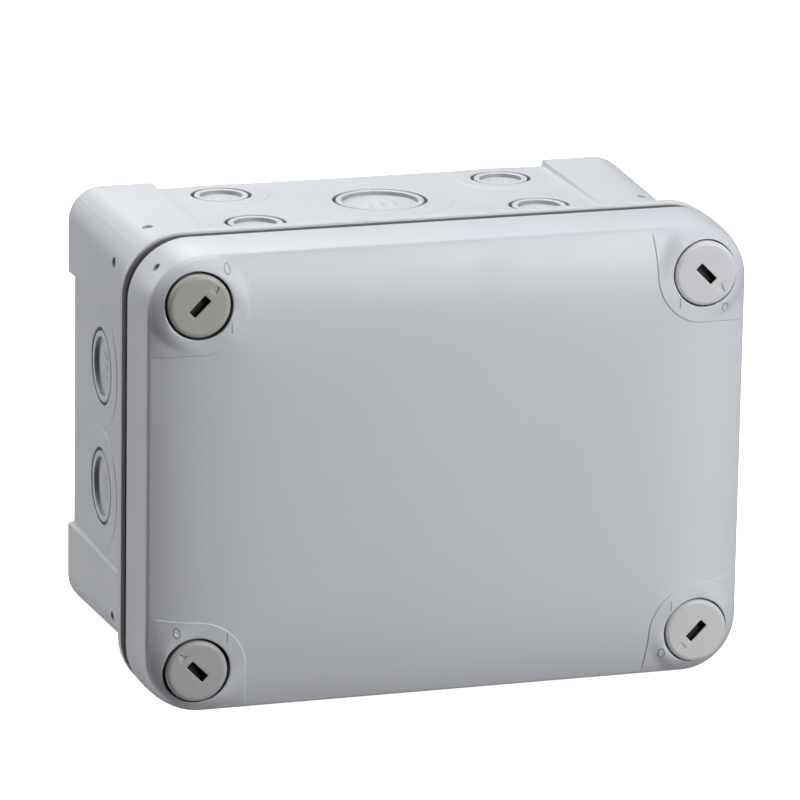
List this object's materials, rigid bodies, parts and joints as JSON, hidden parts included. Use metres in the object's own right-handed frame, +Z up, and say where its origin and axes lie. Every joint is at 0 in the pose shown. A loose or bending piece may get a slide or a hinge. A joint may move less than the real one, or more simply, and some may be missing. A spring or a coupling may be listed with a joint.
{
  "type": "electrical junction box",
  "caption": "Wall-mounted plastic junction box with a lift-off cover, quarter-turn locks, round knock-outs and rail-mounted terminals inside.",
  "frame": {"origin": "centre of the flat back face that lies on the wall", "axes": "+X to the right and +Z up when facing the cover, +Y into the wall"},
  "size_m": [0.225, 0.13, 0.17],
  "materials": {
    "light_grey_plastic": "fine satin",
    "lock_plastic": "satin",
    "gasket_foam": "matt",
    "cap_plastic": "satin",
    "clip_nylon": "satin",
    "rail_steel": "zinc plated",
    "screw_steel": "zinc plated",
    "terminal_grey": "satin",
    "terminal_blue": "satin",
    "terminal_green": "satin",
    "bar_brass": "bright"
  },
  "bodies": {
    "base": {"base_box": "light_grey_plastic", "fixing_cap_top_left": "cap_plastic", "fixing_cap_top_right": "cap_plastic", "fixing_cap_bottom_left": "cap_plastic", "fixing_cap_bottom_right": "cap_plastic", "din_rail": "rail_steel", "rail_screw_left": "screw_steel", "rail_screw_right": "screw_steel", "end_stop_left": "terminal_grey", "end_stop_right": "terminal_grey", "terminal_line_1": "terminal_grey", "current_bar_line_1": "bar_brass", "clamp_screw_line_1_upper": "screw_steel", "clamp_screw_line_1_lower": "screw_steel", "terminal_line_2": "terminal_grey", "current_bar_line_2": "bar_brass", "clamp_screw_line_2_upper": "screw_steel", "clamp_screw_line_2_lower": "screw_steel", "terminal_line_3": "terminal_grey", "current_bar_line_3": "bar_brass", "clamp_screw_line_3_upper": "screw_steel", "clamp_screw_line_3_lower": "screw_steel", "terminal_neutral": "terminal_blue", "current_bar_neutral": "bar_brass", "clamp_screw_neutral_upper": "screw_steel", "clamp_screw_neutral_lower": "screw_steel", "terminal_earth": "terminal_green", "current_bar_earth": "bar_brass", "clamp_screw_earth_upper": "screw_steel", "clamp_screw_earth_lower": "screw_steel"},
    "cover": {"cover": "light_grey_plastic", "cover_gasket": "gasket_foam"},
    "lock_top_left": {"lock_top_left": "lock_plastic", "lock_clip_top_left": "clip_nylon"},
    "lock_top_right": {"lock_top_right": "lock_plastic", "lock_clip_top_right": "clip_nylon"},
    "lock_bottom_left": {"lock_bottom_left": "lock_plastic", "lock_clip_bottom_left": "clip_nylon"},
    "lock_bottom_right": {"lock_bottom_right": "lock_plastic", "lock_clip_bottom_right": "clip_nylon"}
  },
  "joints": [
    {"name": "cover_lift", "type": "slide", "parent": "base", "child": "cover", "axis": [0, -1, 0], "range_m": [0, 0.08]},
    {"name": "lock_turn_top_left", "type": "hinge", "parent": "cover", "child": "lock_top_left", "pos_m": [-0.0935, -0.129, 0.0665], "axis": [0, 1, 0], "range_deg": [0, 90]},
    {"name": "lock_turn_top_right", "type": "hinge", "parent": "cover", "child": "lock_top_right", "pos_m": [0.0935, -0.129, 0.0665], "axis": [0, 1, 0], "range_deg": [0, 90]},
    {"name": "lock_turn_bottom_left", "type": "hinge", "parent": "cover", "child": "lock_bottom_left", "pos_m": [-0.0935, -0.129, -0.0665], "axis": [0, 1, 0], "range_deg": [0, 90]},
    {"name": "lock_turn_bottom_right", "type": "hinge", "parent": "cover", "child": "lock_bottom_right", "pos_m": [0.0935, -0.129, -0.0665], "axis": [0, 1, 0], "range_deg": [0, 90]}
  ]
}
